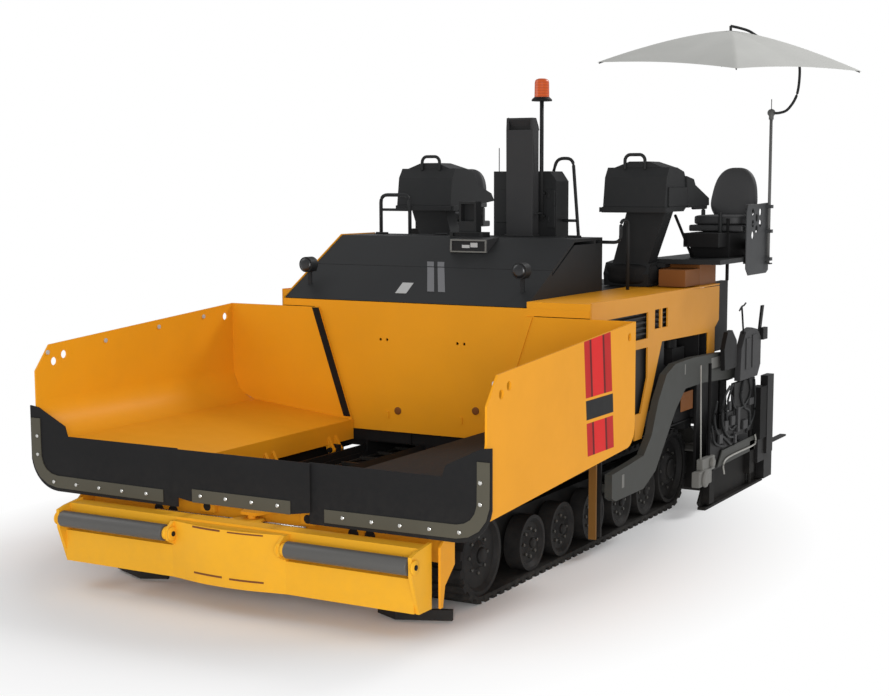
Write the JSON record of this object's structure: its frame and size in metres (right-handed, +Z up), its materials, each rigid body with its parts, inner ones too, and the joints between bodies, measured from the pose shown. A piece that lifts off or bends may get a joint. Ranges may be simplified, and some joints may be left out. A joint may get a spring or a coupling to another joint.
{
  "type": "tracked asphalt paver",
  "caption": "Tracked asphalt paver with folding hopper wings, push rollers, screw augers, extending screed, two operator stations and a sun umbrella.",
  "frame": {"origin": "on the ground, in the middle of the overall width and length with the umbrella's overhang included; the hopper's centre line lies at x = -0.289 m", "axes": "+X to the machine's left, -Y to its front (hopper end), +Z up"},
  "size_m": [4.2759, 6.6785, 4.0972],
  "materials": {
    "machine_yellow": "satin paint",
    "charcoal_grey": "satin paint",
    "frame_grey": "satin paint",
    "roller_grey": "worn paint",
    "bare_steel": "scuffed",
    "black_rubber": "matt",
    "seat_vinyl": "grained",
    "beacon_amber": "translucent",
    "canopy_cloth": "woven"
  },
  "bodies": {
    "tractor": {"main_frame": "frame_grey", "front_crossmember": "machine_yellow", "track_left": "black_rubber", "track_right": "black_rubber", "track_wheels": "frame_grey", "track_frames": "frame_grey", "hopper_rear_wall": "machine_yellow", "conveyor_tunnel": "frame_grey", "conveyors": "bare_steel", "centre_apron": "black_rubber", "track_scrapers": "frame_grey", "engine_and_pumps": "frame_grey", "body_sides": "machine_yellow", "louvre_screens": "charcoal_grey", "hood_cowl": "charcoal_grey", "stack_and_cabinet": "charcoal_grey", "platform_deck": "charcoal_grey", "hand_rails": "charcoal_grey", "beacon": "beacon_amber", "tow_point_posts": "frame_grey", "auger_hanger": "frame_grey"},
    "wing_left": {"wing_left": "machine_yellow", "wing_rubber_left": "black_rubber"},
    "wing_right": {"wing_right": "machine_yellow", "wing_rubber_right": "black_rubber"},
    "push_beam": {"push_beam": "machine_yellow"},
    "push_roller_left": {"push_roller_left": "roller_grey"},
    "push_roller_right": {"push_roller_right": "roller_grey"},
    "hood_lid": {"hood_lid": "charcoal_grey"},
    "station_left": {"station_left": "charcoal_grey", "seat_left": "seat_vinyl"},
    "station_right": {"station_right": "charcoal_grey", "seat_right": "seat_vinyl"},
    "umbrella": {"umbrella_mast": "charcoal_grey", "umbrella_canopy": "canopy_cloth"},
    "auger_left": {"auger_left": "bare_steel"},
    "auger_right": {"auger_right": "bare_steel"},
    "screed": {"screed": "frame_grey", "tow_arms": "frame_grey"},
    "extension_left": {"extension_left": "frame_grey"},
    "extension_right": {"extension_right": "frame_grey"},
    "lift_barrel_left": {"lift_barrel_left": "frame_grey"},
    "lift_barrel_right": {"lift_barrel_right": "frame_grey"},
    "lift_rod_left": {"lift_rod_left": "bare_steel"},
    "lift_rod_right": {"lift_rod_right": "bare_steel"}
  },
  "joints": [
    {"name": "wing_fold_left", "type": "hinge", "parent": "tractor", "child": "wing_left", "pos_m": [0.301, -1.954, 0.7], "axis": [0, -1, 0], "range_deg": [0, 45]},
    {"name": "wing_fold_right", "type": "hinge", "parent": "tractor", "child": "wing_right", "pos_m": [-0.879, -1.954, 0.7], "axis": [0, 1, 0], "range_deg": [0, 45]},
    {"name": "push_beam_swing", "type": "hinge", "parent": "tractor", "child": "push_beam", "pos_m": [-0.289, -2.979, 0.55], "axis": [0, 0, 1], "range_deg": [-5, 5]},
    {"name": "push_roller_spin_left", "type": "hinge", "parent": "push_beam", "child": "push_roller_left", "pos_m": [0.611, -3.267, 0.481], "axis": [1, 0, 0], "continuous": true},
    {"name": "push_roller_spin_right", "type": "hinge", "parent": "push_beam", "child": "push_roller_right", "pos_m": [-1.189, -3.267, 0.481], "axis": [1, 0, 0], "continuous": true},
    {"name": "auger_spin_left", "type": "hinge", "parent": "tractor", "child": "auger_left", "pos_m": [0.411, 1.671, 0.44], "axis": [1, 0, 0], "continuous": true},
    {"name": "auger_spin_right", "type": "hinge", "parent": "tractor", "child": "auger_right", "pos_m": [-0.989, 1.671, 0.44], "axis": [1, 0, 0], "continuous": true},
    {"name": "station_swing_left", "type": "hinge", "parent": "tractor", "child": "station_left", "pos_m": [0.671, 1.211, 1.89], "axis": [0, 0, -1], "range_deg": [0, 15]},
    {"name": "station_swing_right", "type": "hinge", "parent": "tractor", "child": "station_right", "pos_m": [-1.249, 1.211, 1.89], "axis": [0, 0, 1], "range_deg": [0, 15]},
    {"name": "umbrella_swivel", "type": "hinge", "parent": "station_left", "child": "umbrella", "pos_m": [1.4083, 2.453, 3], "axis": [0, 0, 1], "range_deg": [-90, 90]},
    {"name": "screed_lift", "type": "hinge", "parent": "tractor", "child": "screed", "pos_m": [-0.289, -0.551, 0.478], "axis": [1, 0, 0], "range_deg": [0, 7]},
    {"name": "extension_slide_left", "type": "slide", "parent": "screed", "child": "extension_left", "axis": [1, 0, 0], "range_m": [0, 1.2]},
    {"name": "extension_slide_right", "type": "slide", "parent": "screed", "child": "extension_right", "axis": [-1, 0, 0], "range_m": [0, 1.2]},
    {"name": "hood_lid_hinge", "type": "hinge", "parent": "tractor", "child": "hood_lid", "pos_m": [-0.469, 0.374, 2.324], "axis": [-1, 0, 0], "range_deg": [0, 50]},
    {"name": "lift_barrel_swing_left", "type": "hinge", "parent": "tractor", "child": "lift_barrel_left", "pos_m": [0.961, 1.511, 1.64], "axis": [1, 0, 0], "range_deg": [0, 8.5]},
    {"name": "lift_rod_slide_left", "type": "slide", "parent": "lift_barrel_left", "child": "lift_rod_left", "axis": [0, 0.4819, -0.8762], "range_m": [-0.3, 0]},
    {"name": "lift_barrel_swing_right", "type": "hinge", "parent": "tractor", "child": "lift_barrel_right", "pos_m": [-1.539, 1.511, 1.64], "axis": [1, 0, 0], "range_deg": [0, 8.5]},
    {"name": "lift_rod_slide_right", "type": "slide", "parent": "lift_barrel_right", "child": "lift_rod_right", "axis": [0, 0.4819, -0.8762], "range_m": [-0.3, 0]}
  ],
  "couplings": [
    {"joint": "lift_barrel_swing_left", "follows": "screed_lift", "ratio": 1.1407},
    {"joint": "lift_rod_slide_left", "follows": "screed_lift", "m_per_rad": -2.3613},
    {"joint": "lift_barrel_swing_right", "follows": "screed_lift", "ratio": 1.1407},
    {"joint": "lift_rod_slide_right", "follows": "screed_lift", "m_per_rad": -2.3613}
  ]
}
